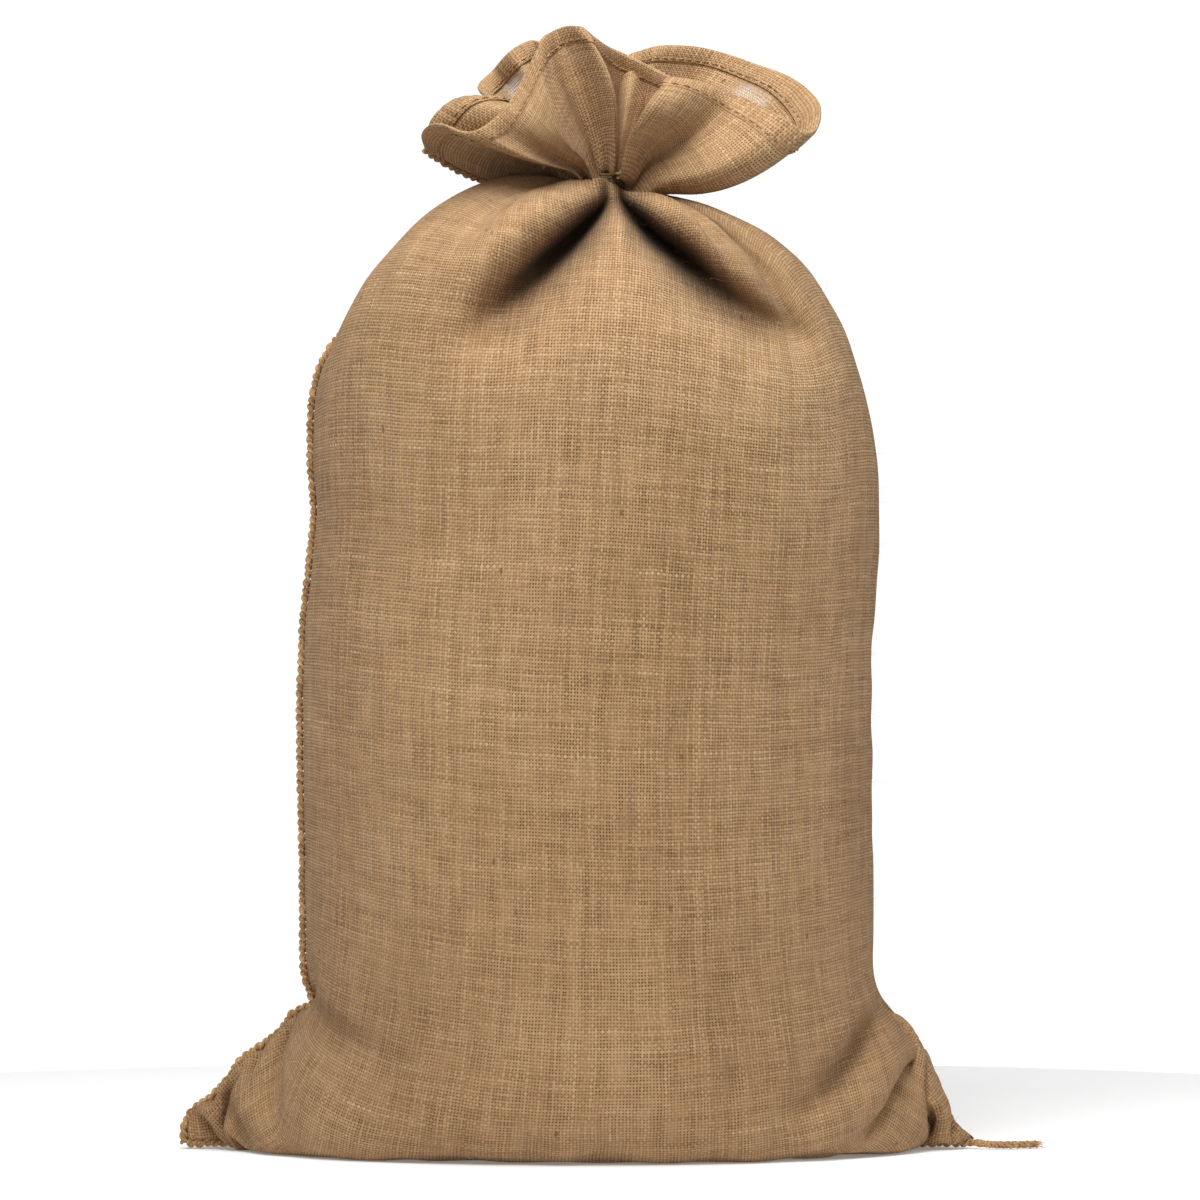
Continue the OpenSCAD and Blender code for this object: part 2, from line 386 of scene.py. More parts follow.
def thread_material(name, dark, mid, light, scale=1.0):
    """Hairy twisted jute thread."""
    g = Graph(name)
    place = g.node("TexCoord").outputs["Object"]
    strands = g.noise(place, 700.0 * scale, 4.0, 0.65)
    tones = g.noise(place, 90.0 * scale, 3.0)
    mixed = g.plus(g.times(strands, 0.6), tones, 0.4)
    colour = g.colours(mixed, [(0.34, dark), (0.50, mid), (0.66, light)])
    return g.finish(colour, g.bump(strands, 0.0004, 0.7), g.ramp(strands, 0.2, 0.8, 0.75, 0.95))


def floor_material():
    g = Graph("floor_paper")
    grain = g.noise(g.node("TexCoord").outputs["Object"], 60.0, 3.0)
    colour = g.colours(grain, [(0.0, (0.90, 0.90, 0.90, 1)), (1.0, (0.93, 0.93, 0.93, 1))])
    rough = g.ramp(grain, 0.0, 1.0, 0.85, 0.95)
    return g.finish(colour, g.bump(grain, 0.0001, 0.1), rough, sheen=0.0, glow=0.16)


JUTE = dict(dark=rgb(122, 90, 58), mid=rgb(182, 146, 106), light=rgb(222, 190, 148))
MATERIALS = {
    "jute_cloth": weave_material("jute_cloth", **JUTE),
    "jute_hem": weave_material("jute_hem", **JUTE, shade=0.8, open_holes=False),
    "seam_thread": thread_material("seam_thread", rgb(96, 66, 38), rgb(172, 134, 92), rgb(222, 186, 140)),
    "hem_thread": thread_material("hem_thread", rgb(96, 66, 40), rgb(160, 124, 86), rgb(204, 168, 126)),
    "tie_cord": thread_material("tie_cord", rgb(60, 44, 28), rgb(112, 88, 60), rgb(158, 130, 94)),
    "stuffing": thread_material("stuffing", rgb(150, 120, 80), rgb(205, 180, 136), rgb(232, 214, 180), 0.3),
    "loose_fibre": thread_material("loose_fibre", rgb(150, 116, 76), rgb(208, 174, 128), rgb(240, 216, 178)),
}


# ---- the free chain of seam thread

TAIL = [
    (0.2835, -0.001, 0.005), (0.288, -0.002, 0.0042), (0.293, -0.003, 0.0036), (0.299, -0.004, 0.0034),
    (0.305, -0.004, 0.0033), (0.311, -0.003, 0.0033), (0.317, -0.001, 0.0033), (0.323, 0.001, 0.0033),
    (0.328, 0.002, 0.0033),
]
TAIL_D = 0.0064


def braid(parts, p, width, height, pitch, strand_r):
    """Three strands plaited along the line p."""
    up = (0, 0, 1)
    p = even(p, pitch / 14)
    side, top = frames(p, up)
    run = run_length(p)
    for k in range(3):
        turn = TURN * (run / pitch + k / 3)
        sway, lift = np.sin(turn)[:, None], np.sin(2 * turn)[:, None]
        parts.tube(p + side * sway * (width / 2 - strand_r) + top * lift * (height / 2 - strand_r),
                   strand_r, 6, up)


def make_fray():
    """The fibres of the thread's end."""
    fray = Parts()
    for _ in range(26):
        reach = random.uniform(0.004, 0.0095)
        a = TAIL[-1] + np.array([-3, random.uniform(-2, 2), random.uniform(-1.4, 1.4)]) / 1000
        spread = np.array([1, random.uniform(-0.5, 0.5), random.uniform(-0.25, 0.35)])
        b = a + unit(spread) * reach * 0.6
        bent = spread + np.array([0, random.uniform(-0.6, 0.6), random.uniform(-0.5, 0.3)])
        c = b + unit(bent) * reach * 0.4
        c[2] = max(c[2], 0.0006)
        fray.tube(catmull([a, b, c], 4), 0.00022, 4)
    return fray.build("tail_fray", "sack", "seam_thread", material="loose_fibre")


def make_tail():
    parts = Parts()
    line = catmull(TAIL, 5)
    braid(parts, line, width=TAIL_D, height=0.0058, pitch=0.015, strand_r=0.00155)
    tail = parts.build("seam_tail_chain", "sack", "seam_thread", "seam_tail")
    make_fray()


# ---- the sack's cloth

# outline of the stuffed sack: height, left, right, half depth (mm), pinch of the two ends
PROFILE = catmull(np.array([
    (0, -286, 285, 150, 1.5), (10, -290, 288, 163, 1.5), (32, -276, 270, 168, 1.45),
    (60, -250, 256, 171, 1.35), (80, -224, 243, 172, 1.25), (100, -208, 228, 172, 1.12),
    (114, -203, 214, 172, 1.05), (140, -200, 212, 172, 1), (192, -199, 211, 173, 1),
    (322, -201, 210, 173, 1), (400, -197, 213, 173, 1), (450, -191, 216, 172, 1),
    (512, -194, 212, 172, 1), (582, -186, 194, 166, 1), (632, -160, 166, 150, 1),
    (664, -128, 133, 122, 1), (684, -104, 92, 82, 1), (697, -82, 62, 42, 1), (708, -52, 48, 16, 1),
]) / [1000, 1000, 1000, 1000, 1], 6)

# the rim of the mouth (mm), from the seam round the front to the folded side, then round the back,
# with how far the cloth below bulges to the right, to the back and up
RIM_FRONT = [
    (-112, 8, 721, 0, 0, -18), (-114, -14, 729, 0, 0, -14), (-107, -44, 733, 0, -2, -8),
    (-97, -66, 731, 0, -6, -8), (-85, -82, 725, 0, -12, -8), (-74, -86, 726, 0, -16, -9),
    (-63, -80, 733, 0, -4, -9), (-52, -70, 745, 0, -22, -8), (-42, -56, 764, -2, -34, -12),
    (-31, -42, 788, -6, -38, -18), (-27, -30, 797, -4, -24, -10), (-20, -14, 803, 0, -14, -4),
    (-10, -22, 806, 7, -24, 0), (0, -36, 804, 13, -42, 0), (5, -18, 802, 12, -10, 0),
    (18, 26, 797, 4, 18, -3), (38, 32, 788, 2, 20, -3), (58, 22, 777, 4, 14, -2),
    (66, -10, 770, 6, -6, 0), (63, -36, 768, -2, -48, 2), (76, -36, 767, 4, -46, 0),
    (92, -31, 763, 6, -35, -3), (106, -26, 758, 4, -22, -7), (116, -27, 754, 0, -20, -10),
    (130, -36, 747, 0, -26, -15), (146, -46, 737, 0, -30, -23), (160, -42, 728, 0, -18, -28),
    (168, -24, 731, 0, -6, -28), (172, -4, 741, 0, 0, -25),
]
RIM_BACK = [
    (172, 18, 754, 0, 4, -20), (163, 40, 767, 0, 10, -12), (149, 58, 778, 0, 12, -4),
    (129, 74, 787, 0, 12, 0), (103, 84, 797, 0, 12, 2), (80, 76, 801, 0, 8, 0), (54, 58, 799, 0, -6, 0),
    (34, 46, 791, 0, -8, 0), (14, 92, 788, 0, 14, 0), (-7, 46, 788, 0, -10, 0), (-21, 50, 796, 0, -6, 0),
    (-35, 84, 806, 0, 12, 2), (-51, 58, 796, 0, -4, 0), (-65, 78, 783, 0, 8, 0), (-75, 50, 770, 0, 0, 0),
    (-70, 30, 762, 0, -8, 0), (-60, 14, 758, 0, -20, 4), (-66, 2, 757, 0, -44, 6),
    (-80, -2, 757, 0, -52, 4), (-94, -2, 753, 0, -46, -2), (-106, 2, 743, 0, -24, -8),
    (-111, 8, 731, 0, -6, -14),
]
# where the body's cloth goes into the tie: cloth position (mm), direction (180 the seam, 270 the front),
# radius (mm)
GATHER = [
    (0, 158, 15), (50, 184, 6), (105, 207, 15), (160, 222, 5), (205, 238, 15), (252, 256, 3),
    (310, 272, 16), (372, 290, 3), (440, 312, 15), (492, 330, 6), (545, 345, 15), (600, 360, 13),
    (655, 372, 6), (705, 385, 15), (760, 400, 6), (810, 415, 15), (860, 430, 6), (905, 445, 15),
    (955, 460, 6), (1005, 476, 15), (1055, 486, 6), (1100, 498, 15), (1150, 508, 6), (1200, 518, 15),
]
# folds that sink into the stuffed body: x, z, reach above and below, and depth (mm) along each, and its side
FRONT, BACK = -1, 1
LAP = 0.11  # how far the cloth above a fold laps over it, as a share of the fold's depth
PITS = [
    (FRONT, [(19, 691, 5, 6, 30), (13, 678, 6, 11, 66), (-8, 657, 7, 20, 74), (-30, 635, 9, 26, 60),
             (-51, 612, 12, 30, 40), (-66, 588, 16, 32, 18), (-72, 562, 18, 30, 0)]),
    (FRONT, [(27, 691, 5, 6, 30), (35, 678, 6, 9, 70), (54, 659, 7, 16, 80), (71, 645, 8, 20, 72),
             (90, 627, 9, 25, 58), (111, 607, 11, 28, 42), (133, 591, 13, 28, 26), (160, 578, 16, 26, 0)]),
    (FRONT, [(8, 692, 3, 4, 8), (-14, 690, 4, 6, 12), (-40, 686, 5, 8, 9), (-66, 678, 7, 10, 0)]),
    (FRONT, [(36, 692, 3, 4, 8), (58, 687, 4, 6, 10), (84, 676, 6, 8, 0)]),
    (FRONT, [(-206, 118, 6, 8, 4), (-190, 108, 8, 12, 14), (-172, 94, 9, 14, 18), (-152, 80, 10, 14, 11),
             (-132, 68, 10, 12, 0)]),
    (FRONT, [(-253, 42, 5, 5, 8), (-249, 28, 6, 8, 22), (-240, 12, 8, 9, 22)]),
    (FRONT, [(-278, 24, 4, 4, 4), (-266, 20, 5, 5, 9), (-256, 16, 5, 5, 8)]),
    (FRONT, [(214, 108, 6, 9, 10), (200, 90, 8, 13, 24), (184, 68, 9, 15, 26), (166, 48, 10, 14, 16),
             (148, 32, 10, 12, 0)]),
    (FRONT, [(268, 23, 4, 5, 4), (256, 15, 5, 6, 9), (244, 9, 5, 6, 5)]),
    (BACK, [(18, 690, 6, 8, 24), (-6, 672, 8, 14, 42), (-38, 645, 11, 20, 30), (-66, 612, 15, 22, 14),
            (-80, 584, 16, 22, 0)]),
    (BACK, [(28, 690, 6, 8, 24), (40, 668, 8, 14, 40), (60, 636, 11, 20, 28), (74, 600, 16, 22, 13),
            (80, 566, 16, 22, 0)]),
    (BACK, [(46, 690, 5, 7, 14), (80, 676, 8, 12, 18), (116, 655, 10, 14, 14), (144, 626, 12, 16, 0)]),
    (BACK, [(-6, 692, 5, 7, 14), (-40, 684, 8, 12, 16), (-86, 666, 9, 14, 10), (-118, 646, 10, 14, 0)]),
    (BACK, [(-218, 96, 9, 9, 8), (-200, 72, 12, 12, 16), (-180, 44, 12, 12, 0)]),
    (BACK, [(214, 98, 9, 9, 8), (198, 70, 12, 12, 16), (180, 44, 12, 12, 0)]),
]
# rolls that stand up beside the folds: x, z, half width and height (mm) along each
ROLLS = [
    (FRONT, [(4, 693, 6, 4), (-18, 679, 11, 12), (-44, 657, 14, 16), (-72, 632, 17, 11), (-96, 602, 20, 0)]),
    (FRONT, [(40, 690, 6, 4), (66, 676, 10, 12), (92, 659, 12, 15), (120, 637, 14, 11), (150, 610, 16, 0)]),
    (FRONT, [(23, 689, 4, 10), (26, 679, 5, 16), (25, 666, 9, 14), (22, 648, 18, 9), (20, 618, 34, 0)]),
]
# the highest the stuffed body reaches beside the neck: x and z
CEILING = np.array([(-0.11, 0.690), (-0.08, 0.702), (-0.053, 0.708), (-0.02, 0.704), (0.006, 0.699),
                    (0.03, 0.695), (0.06, 0.691), (0.10, 0.686)])
# the two sides of the ears, from the corner up (mm)
EAR_LEFT = [(-283, 5), (-284, 16), (-277, 29), (-263, 39), (-251, 51), (-242, 64), (-224, 77), (-210, 90),
            (-204, 106), (-201, 124)]
EAR_RIGHT = [(283, 8), (270, 18), (260, 30), (253, 50), (244, 74), (232, 95), (214, 107)]
# how the cloth is laid out before it settles: cloth position t and height
LAID = np.array([(0, 0), (0.11, 0), (0.15, 0.012), (0.18, 0.04), (0.70, 0.560), (0.80, 0.645), (0.86, 0.68),
                 (T_NECK, 0.694)])
FRILL_FOOT = 0.702       # where the mouth's cloth leaves the tie
SMALL_PLEAT = 0.028      # cloth in each of the small pleats there
# where the weave has slid open: place on the cloth, and reach round and up (m)
SLACK = [
    (0.210, 0.996, 0.010, 0.012), (0.228, 0.996, 0.010, 0.011), (0.360, 0.970, 0.016, 0.014),
    (0.690, 1.004, 0.012, 0.007), (0.674, 1.004, 0.009, 0.006), (1.035, 1.000, 0.014, 0.010),
    (1.005, 0.996, 0.010, 0.010),
]


def outline(z):
    return [np.interp(z, PROFILE[:, 0], PROFILE[:, k]) for k in range(1, 5)]


def body_ring(z, s):
    """The sack's outline at a height, at the cloth positions s."""
    left, right, depth, pinch = outline(z)
    turn = np.linspace(0, TURN, 721)
    middle, half = (left + right) / 2, (right - left) / 2
    y = -depth * np.sign(np.sin(turn)) * np.abs(np.sin(turn)) ** pinch
    p = np.stack([middle - half * np.cos(turn), y, np.full_like(turn, z)], 1)
    return front_and_back(p[:361], p[360:], s)


def front_and_back(front, back, s):
    """Points at the cloth positions s of two lines: one over the front, and one on round the back."""
    a = along(front, np.clip(s / HALF, 0, 1))
    b = along(back, np.clip(s / HALF - 1, 0, 1))
    return np.where((s <= HALF)[:, None], a, b)


def rim_line(s):
    """The rim and the bulge of the cloth below it, at the cloth positions s."""
    front = catmull(RIM_FRONT, 8) / 1000
    back = catmull([RIM_FRONT[-1]] + RIM_BACK + [RIM_FRONT[0]], 8) / 1000
    return front_and_back(front, back, s)


def body_gather(s, z):
    g = catmull(GATHER, 6)
    turn = np.radians(np.interp(s * 1000, g[:, 0], g[:, 1]))
    r = np.interp(s * 1000, g[:, 0], g[:, 2]) / 1000
    return np.stack([NECK[0] + r * np.cos(turn), NECK[1] + r * np.sin(turn), np.full_like(s, z)], 1)


def frill_gather(rim, s, z):
    """The mouth's cloth where it leaves the tie, under the rim's own pleats."""
    d = rim[:, :2] - np.array(NECK[:2])
    reach = np.linalg.norm(d, axis=1)
    share = np.clip(np.maximum(np.abs(d[:, 1]) / 0.09, reach / 0.16), 0, 1)
    r = 0.004 + 0.011 * share + 0.0011 * np.sin(TURN * s / SMALL_PLEAT)
    # the front pleats are squeezed together in the middle
    front = np.clip(-d[:, 1] / 0.03, 0, 1)
    r = r * (1 - 0.35 * front)
    x = NECK[0] + r * (1 - 0.6 * front) * d[:, 0] / reach
    return np.stack([x, NECK[1] + r * d[:, 1] / reach, np.full(len(rim), z)], 1)


def frill_point(s, t):
    """The mouth's cloth between the tie and the rim, at the cloth positions s (round) and t (up)."""
    w = (t - T_NECK) / (CLOTH_L - T_NECK)
    rim = rim_line(s)
    base = frill_gather(rim, s, FRILL_FOOT)
    # at the front and the sides it droops over the tie
    over = np.maximum(np.abs(rim[:, 0] - NECK[0]) / 0.06, -rim[:, 1] / 0.035)
    over = np.clip(over, 0, 1) * fall(rim[:, 1], 0.03, 0.03)
    droop = np.zeros_like(base)
    droop[:, 2] = -0.014 * over * hump(w, 0.12, 0.09) * min(1, w / 0.03)
    return base * (1 - w) + rim[:, :3] * w + rim[:, 3:] * 4 * w * (1 - w) + droop


def with_mouth(P):
    """The mouth's cloth comes straight from its own outline."""
    s, all_t = places(*P.shape[:2])
    for i, t in enumerate(all_t):
        if t > T_NECK + 0.004:
            P[i] = frill_point(s, t)
    return P


def first_shape(rows, columns):
    """The cloth before it settles: laid under the base, up the sides, into the tie and out to the rim."""
    s, all_t = places(rows, columns)
    base = LAID[1, 0]
    P = np.zeros((rows, columns, 3))
    for i, t in enumerate(all_t):
        if t > T_NECK:
            P[i] = frill_point(s, t)
            continue
        drift = 0.05 * rise(t, 0.76, 0.08)  # over the shoulder the seam runs towards the back
        ring = body_ring(np.interp(t, LAID[:, 0], LAID[:, 1]), np.mod(s - drift, CLOTH_W))
        if t < base:
            ring[:, 1] *= t / base
            ring[:, 2] = 0.0065 * (1 - t / base)
        w = max(0, (t - 0.80) / (T_NECK - 0.80)) ** 1.5
        P[i] = ring * (1 - w) + body_gather(s, LAID[-1, 1]) * w
    return P


def finer(P):
    """Twice the rows and columns, on the same smooth surface."""
    rows, columns = P.shape[:2]
    Q = np.empty((rows, columns * 2, 3))
    Q[:, ::2] = P
    near, far = P + np.roll(P, -1, 1), np.roll(P, 1, 1) + np.roll(P, -2, 1)
    Q[:, 1::2] = (9 * near - far) / 16
    R = np.empty((rows * 2 - 1, columns * 2, 3))
    R[::2] = Q
    E = np.concatenate([2 * Q[:1] - Q[1:2], Q, 2 * Q[-1:] - Q[-2:-1]])
    R[1::2] = (9 * (E[1:-2] + E[2:-1]) - (E[:-3] + E[3:])) / 16
    return R


def side_distance(columns):
    """How far each column of the cloth lies from the nearer side of the sack."""
    return np.abs(np.mod(np.arange(columns) / columns + 0.25, 0.5) - 0.25) * CLOTH_W


def normals(Q):
    """Outward normals of rows of cloth."""
    around = np.roll(Q, -1, 1) - np.roll(Q, 1, 1)
    return unit(np.cross(around, np.gradient(Q, axis=0)))


def pit_depth(B, low, high, least):
    """How far the folds sink the cloth at each point, for the folds between two heights, and how the edge
    above laps over them."""
    deep = np.zeros(B.shape[:2])
    lap = np.zeros(B.shape[:2] + (2,))
    x, y, z = np.moveaxis(B, -1, 0)
    for side, points in PITS:
        line = catmull(points, 4) / 1000
        if not low <= line[:, 1].mean() < high:
            continue
        way = unit(np.gradient(line[:, :2], axis=0))
        up = np.stack([-way[:, 1], way[:, 0]], 1) * np.where(way[:, :1] < 0, -1, 1)
        facing = np.clip((0.004 + side * y) / 0.012, 0, 1)
        for (px, pz, above, below, depth), (ux, uz), (wx, wz) in zip(line, up, way):
            across = (x - px) * ux + (z - pz) * uz
            run = (x - px) * wx + (z - pz) * wz
            reach = np.maximum(np.where(across > 0, above, below), least)
            one = depth * np.exp(-(across / reach) ** 2 - (run / max(below, least)) ** 2) * facing
            deep = np.maximum(deep, one)
            over = LAP * depth * np.exp(-((across - 1.3 * above) / above) ** 2 - (run / below) ** 2) * facing
            lap = np.where((over > np.sqrt((lap ** 2).sum(-1)))[..., None], -over[..., None] * [ux, uz], lap)
    return deep, lap


def roll_height(B):
    """How far the rolls beside the folds stand out at each point."""
    high = np.zeros(B.shape[:2])
    x, y, z = np.moveaxis(B, -1, 0)
    for side, points in ROLLS:
        one = np.zeros(B.shape[:2])
        for px, pz, width, height in catmull(points, 4) / 1000:
            one = np.maximum(one, height * np.exp(-((x - px) ** 2 + (z - pz) ** 2) / width ** 2))
        high = np.maximum(high, one * np.clip((side * y) / 0.012, 0, 1))
    return high


def blurred(field):
    """The field averaged with its neighbours."""
    field = (field + np.roll(field, 1, 1) + np.roll(field, -1, 1)) / 3
    field[1:-1] = (field[1:-1] + field[2:] + field[:-2]) / 3
    return field


def smoothing(t, columns):
    """Where the body's cloth is smoothed before its folds are pressed: above the ears, and in the corners
    but for their edges. Along the seam it starts lower."""
    to_side = side_distance(columns)
    corner = rise(t, 0.03, 0.05) * rise(to_side, 0.012, 0.03)
    seamed = np.cos(TURN * np.arange(columns) / columns) > 0.85
    share = np.maximum(rise(t, 0.16, 0.08), rise(t, 0.115, 0.03) * seamed)
    return np.maximum(share, 0.9 * corner) * fall(t, T_NECK - 0.004, 0.03)


def press_folds(P):
    """Presses the folds into the settled cloth, and lifts the rolls beside them."""
    rows = int(len(P) * T_NECK / CLOTH_L)
    t = np.linspace(0, CLOTH_L, len(P))[:rows, None]
    P = P.copy()
    smooth = P[:rows].copy()
    for _ in range(30):
        smooth = blurred(smooth)
    B = P[:rows] + (smooth - P[:rows]) * smoothing(t, P.shape[1])[..., None]
    fade = fall(t, T_NECK, 0.012)
    x, y, z = np.moveaxis(B, -1, 0)
    side, out = np.sign(y), np.abs(y)
    deep, lap = pit_depth(B, 0, 1, 0.001)
    high = roll_height(B)
    out = np.maximum(out - blurred(blurred(deep * fade)) + blurred(high * fade), np.minimum(out, 0.004))
    y[...] = side * out
    B[..., ::2] += blurred(lap * fade[..., None])
    # the middle of the gathered cloth stands a little higher against the tie
    near = hump(x, NECK[0], 0.016) * fall(out, 0.04, 0.01)
    z += 0.007 * near * rise(z, 0.682, 0.010) * fade
    P[:rows] = B
    return P


def fold_shade(P):
    """How deep in a fold each point of the cloth lies, from 0 to 1."""
    rows = int(len(P) * T_NECK / CLOTH_L)
    shade = np.zeros(P.shape[:2])
    deep, _ = pit_depth(P[:rows], 0, 1, 0.001)
    shade[:rows] = np.clip(blurred(deep) / 0.062, 0, 1) ** 1.6
    return shade


def keep_in_mould(B, deep):
    """The stuffing can't push the cloth out of the sack's outline, nor out of its folds."""
    x, y, z = np.moveaxis(B, -1, 0)
    np.clip(z, 0.0, np.interp(x, *CEILING.T), out=z)
    left, right, depth, pinch = outline(z)
    middle, half = (left + right) / 2, (right - left) / 2
    dx = x - middle
    g = (dx / half) ** 2 + (np.abs(y) / depth) ** (2 / pinch)
    outside = g > 1
    g = np.where(outside, g, 1)
    x[...] = np.where(outside, middle + dx * g ** -0.5, x)
    y[...] = np.where(outside, y * g ** (-pinch / 2), y)
    u = np.clip((x - middle) / half, -1, 1)
    most = np.maximum(depth * (1 - u * u) ** (pinch / 2) - deep, 0.002)
    folded = (deep > 0.0005) & (np.abs(y) > most)
    y[...] = np.where(folded, np.sign(y) * most, y)


def pull(P, a, b, rest, k, squeeze=None):
    """Brings two sets of points towards their distance at rest. squeeze is how much they resist being pushed
    together."""
    A, B = P[a], P[b]
    d = B - A
    e = 1 - rest / (np.sqrt((d * d).sum(-1)) + 1e-12)
    if squeeze is not None:
        e = np.where(e < 0, e * squeeze, e)
    move = (0.5 * k * e)[..., None] * d
    A += move
    B -= move


def unbend(d, rest, k):
    """How far points two apart move, which are the offset d from each other, so as not to come closer than
    they lie flat."""
    length = np.sqrt((d * d).sum(-1)) + 1e-12
    return (np.minimum(0, 1 - rest / length) * k * 0.5)[..., None] * d


class Settling:
    """The cloth while it settles. Its first column is repeated after its last, so that it closes."""

    def __init__(self, P, push):
        rows, self.columns = P.shape[:2]
        self.P = np.concatenate([P, P[:, :1]], 1)
        self.Q = self.P[:, :-1]
        self.V = np.zeros_like(self.P)
        self.push = push
        self.h, self.w = CLOTH_L / (rows - 1), CLOTH_W / self.columns
        self.t = np.linspace(0, CLOTH_L, rows)
        self.body = int((self.t < T_NECK).sum())
        self.deep = np.zeros((self.body, self.columns + 1))
        ends = [(r, r + (self.body - r) // 2 * 2) for r in (0, 1)]
        self.row_pairs = [(slice(r, e, 2), slice(r + 1, e + 1, 2)) for r, e in ends]
        self.measure_cloth()
        self.mark_edges()

    def measure_cloth(self):
        """How long and wide the cloth is at each place, how heavy, and how much it resists squeezing."""
        t = self.t[:self.body, None]
        to_side = side_distance(self.columns)
        # in the empty corners the loose weave slides and gives
        give = rise(t, 0, 0.04) * fall(t, 0.17, 0.06)
        # between the ears and the shoulder the cloth is filled tight
        taut = self.w * (1 - 0.022 * rise(t, 0.14, 0.12)) * (1 - 0.10 * rise(t, 0.70, 0.16))
        self.wide = taut * (1 + 0.12 * give)
        self.long = self.h * (1 + 0.13 * give * hump(to_side, 0, 0.10))
        self.diagonal = math.hypot(self.h, self.w) * (1 + 0.1 * give)
        self.weight = 2.6 * fall(t, 0.17, 0.05) * rise(to_side, 0.06, 0.10)
        # near the tie the cloth is gathered finer than this grid, so it gives when it is squeezed
        self.near = rise(np.abs(self.t - T_NECK), 0.02, 0.10)[:, None]

    def mark_edges(self):
        """Where the seams and the tie hold the cloth."""
        t, columns = self.t, self.columns
        # the seam stands at the side of the sack, and over the shoulder it runs towards the back
        self.upright = (t > 0.20) & (t < T_NECK - 0.015)
        self.behind = 0.055 * rise(t, 0.77, 0.06) * fall(t, T_NECK, 0.05)
        self.in_tie = np.abs(t - T_NECK) <= max(self.h * 0.75, 0.006)
        self.tied, self.mouth = self.P[self.in_tie].copy(), self.P[self.body:].copy()
        # the bottom seam runs from ear to ear
        self.mirror = (-np.arange(columns)) % columns
        x = EAR * (1 - 2 * np.abs(np.linspace(-1, 1, columns + 1)))
        self.seam = np.stack([x, 0 * x, 0 * x + 0.006], 1)
        self.ear = hump(np.minimum(np.abs(x + EAR), np.abs(x - EAR)), 0, 0.04)[:, None]

    def close(self, rows=np.s_[:]):
        self.P[rows, self.columns] = self.P[rows, 0]

    def force(self):
        """The stuffing pushes the cloth out, but not in the empty corners, and its weight pulls it down."""
        Q = self.Q[:self.body]
        n = normals(Q)
        x, z = Q[..., 0], Q[..., 2]
        centre = np.stack([np.full_like(x, 0.008), np.zeros_like(x), np.clip(z, 0.12, 0.50)], -1)
        d = unit(Q - centre)
        edge = 0.208 + fall(z, 0.11, 0.08) * 0.044
        empty = rise(np.abs(x - 0.004), edge, 0.04) * fall(z, 0.14, 0.04)
        out = np.clip((n * d).sum(-1), 0, 1)[..., None] * (1 - empty)[..., None]
        d = unit(d + 1.5 * n * fall(z, 0.14, 0.06)[..., None])
        force = np.zeros_like(self.Q)
        force[:self.body] += self.push * out * d * fall(self.t[:self.body], T_NECK, 0.06)[:, None, None]
        force[..., 2] -= 0.00002
        force[:self.body, :, 2] -= self.push * self.weight * (1 - empty)
        return force

    def sink_folds(self):
        """How deep the folds of the shoulder and of the ears are where the cloth lies now."""
        P, reach = self.P, 0.9 * self.h
        top, low = int(self.body * 0.6), int(self.body * 0.36)
        self.deep[top:] = 0.6 * pit_depth(P[top:self.body], 0.3, 1, reach)[0]
        self.deep[:low] = 0.6 * pit_depth(P[:low], 0, 0.3, reach)[0]

    def pull_yarns(self):
        P, columns, near = self.P, self.columns, self.near
        for first in (0, 1):
            a, b = np.s_[:self.body, first:columns:2], np.s_[:self.body, first + 1:columns + 1:2]
            pull(P, a, b, self.wide, 1.0, near[:self.body])
        P[:, 0] = P[:, columns]
        for upper, lower in self.row_pairs:
            pull(P, np.s_[upper, :columns], np.s_[lower, :columns], self.long[upper], 1.0)
        self.close()
        left, right = slice(0, columns), slice(1, columns + 1)
        for upper, lower in self.row_pairs:
            pull(P, (upper, left), (lower, right), self.diagonal[upper], 0.15, near[upper])
            P[lower, 0] = P[lower, columns]
            self.close()
            pull(P, (upper, right), (lower, left), self.diagonal[upper], 0.15, near[upper])
            P[upper, 0] = P[upper, columns]
            self.close()

    def resist_bends(self):
        Q = self.Q
        move = unbend(Q[2:] - Q[:-2], 2 * self.h, 0.3 * (0.3 + 0.7 * self.near[1:-1]))
        Q[:-2] += move * 0.5
        Q[2:] -= move * 0.5
        move = unbend(np.roll(Q, -1, 1) - np.roll(Q, 1, 1), 2 * self.w, 0.3 * self.near)
        Q += 0.5 * (np.roll(move, -1, 1) - np.roll(move, 1, 1))
        self.close()

    def hold_ears(self):
        """Keeps the side folds of the two ears where the empty corners stand."""
        for points, column in ((EAR_LEFT, 0), (EAR_RIGHT, self.columns // 2)):
            line = np.insert(catmull(points, 4) / 1000, 1, 0, axis=1)
            rows = self.t <= run_length(line)[-1]
            self.P[rows, column] += 0.5 * (at_run(line, self.t[rows]) - self.P[rows, column])
        self.close()

    def hold_edges(self):
        P, Q = self.P, self.Q
        # the bottom edges are sewn together
        Q[0] = 0.5 * (Q[0] + Q[0, self.mirror])
        self.close(0)
        P[0] += (0.02 + 0.3 * self.ear) * (self.seam - P[0])
        self.hold_ears()
        P[self.upright, 0, 1] += 0.3 * (self.behind[self.upright] - P[self.upright, 0, 1])
        self.close(self.upright)
        P[self.body:] = self.mouth
        P[self.in_tie] = self.tied
        keep_in_mould(P[:self.body], self.deep)
        np.maximum(P[..., 2], 0.0, out=P[..., 2])

    def step(self, passes):
        self.V *= 0.9
        self.V[:, :self.columns] += self.force()
        self.V[:, self.columns] = self.V[:, 0]
        old = self.P.copy()
        self.P += self.V
        for _ in range(passes):
            self.pull_yarns()
            self.resist_bends()
            self.hold_edges()
        self.V = self.P - old


